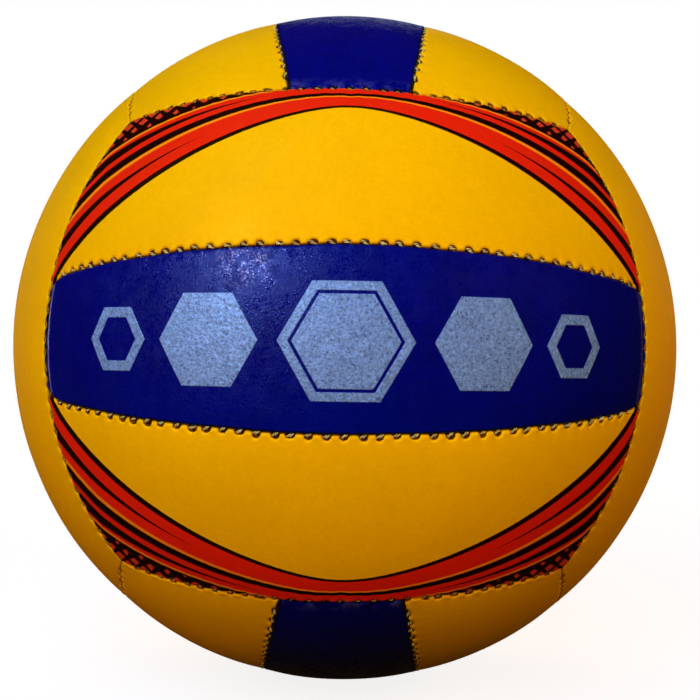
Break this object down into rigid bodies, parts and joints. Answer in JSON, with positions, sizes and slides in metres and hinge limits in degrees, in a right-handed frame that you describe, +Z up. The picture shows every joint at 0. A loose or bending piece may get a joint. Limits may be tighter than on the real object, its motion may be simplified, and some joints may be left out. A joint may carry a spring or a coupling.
{
  "type": "volleyball",
  "caption": "Inflatable indoor volleyball with stitched strip panels over foam, a cloth lining and a rubber bladder with a needle valve.",
  "frame": {"origin": "centre of the inflated ball", "axes": "-Y out through the front face, whose strips run along X; +Z up; +X out along the needle port's axis"},
  "size_m": [0.2099, 0.21, 0.21],
  "materials": {
    "cover_yellow": "satin synthetic leather with a fine grain",
    "cover_yellow_printed": "satin synthetic leather with a red, black and orange print at both ends",
    "cover_blue": "satin synthetic leather with a fine grain",
    "cover_blue_printed": "satin synthetic leather with a silver foil print",
    "foam": "closed-cell foam, matte",
    "lining_cloth": "woven polycotton, matte",
    "thread": "twisted polyester thread",
    "bladder_rubber": "smooth butyl rubber",
    "valve_rubber": "moulded rubber, satin",
    "plug_rubber": "soft rubber, satin"
  },
  "bodies": {
    "ball": {"front_upper_panel": "cover_yellow_printed", "front_middle_panel": "cover_blue_printed", "front_lower_panel": "cover_yellow_printed", "back_upper_panel": "cover_yellow_printed", "back_middle_panel": "cover_blue_printed", "back_lower_panel": "cover_yellow_printed", "top_left_panel": "cover_yellow", "top_middle_panel": "cover_blue", "top_right_panel": "cover_yellow", "bottom_left_panel": "cover_yellow", "bottom_middle_panel": "cover_blue", "bottom_right_panel": "cover_yellow", "left_front_panel": "cover_yellow", "left_middle_panel": "cover_blue", "left_rear_panel": "cover_yellow", "right_front_panel": "cover_yellow", "right_middle_panel": "cover_blue", "right_rear_panel": "cover_yellow", "front_upper_foam": "foam", "front_middle_foam": "foam", "front_lower_foam": "foam", "back_upper_foam": "foam", "back_middle_foam": "foam", "back_lower_foam": "foam", "top_left_foam": "foam", "top_middle_foam": "foam", "top_right_foam": "foam", "bottom_left_foam": "foam", "bottom_middle_foam": "foam", "bottom_right_foam": "foam", "left_front_foam": "foam", "left_middle_foam": "foam", "left_rear_foam": "foam", "right_front_foam": "foam", "right_middle_foam": "foam", "right_rear_foam": "foam", "front_lining": "lining_cloth", "back_lining": "lining_cloth", "top_lining": "lining_cloth", "bottom_lining": "lining_cloth", "left_lining": "lining_cloth", "right_lining": "lining_cloth", "front_strip_thread": "thread", "back_strip_thread": "thread", "top_strip_thread": "thread", "bottom_strip_thread": "thread", "left_strip_thread": "thread", "right_strip_thread": "thread", "crosswise_edge_thread": "thread", "lengthwise_edge_thread": "thread", "upright_edge_thread": "thread", "bladder": "bladder_rubber", "valve_body": "valve_rubber", "valve_plug": "plug_rubber"}
  },
  "joints": []
}
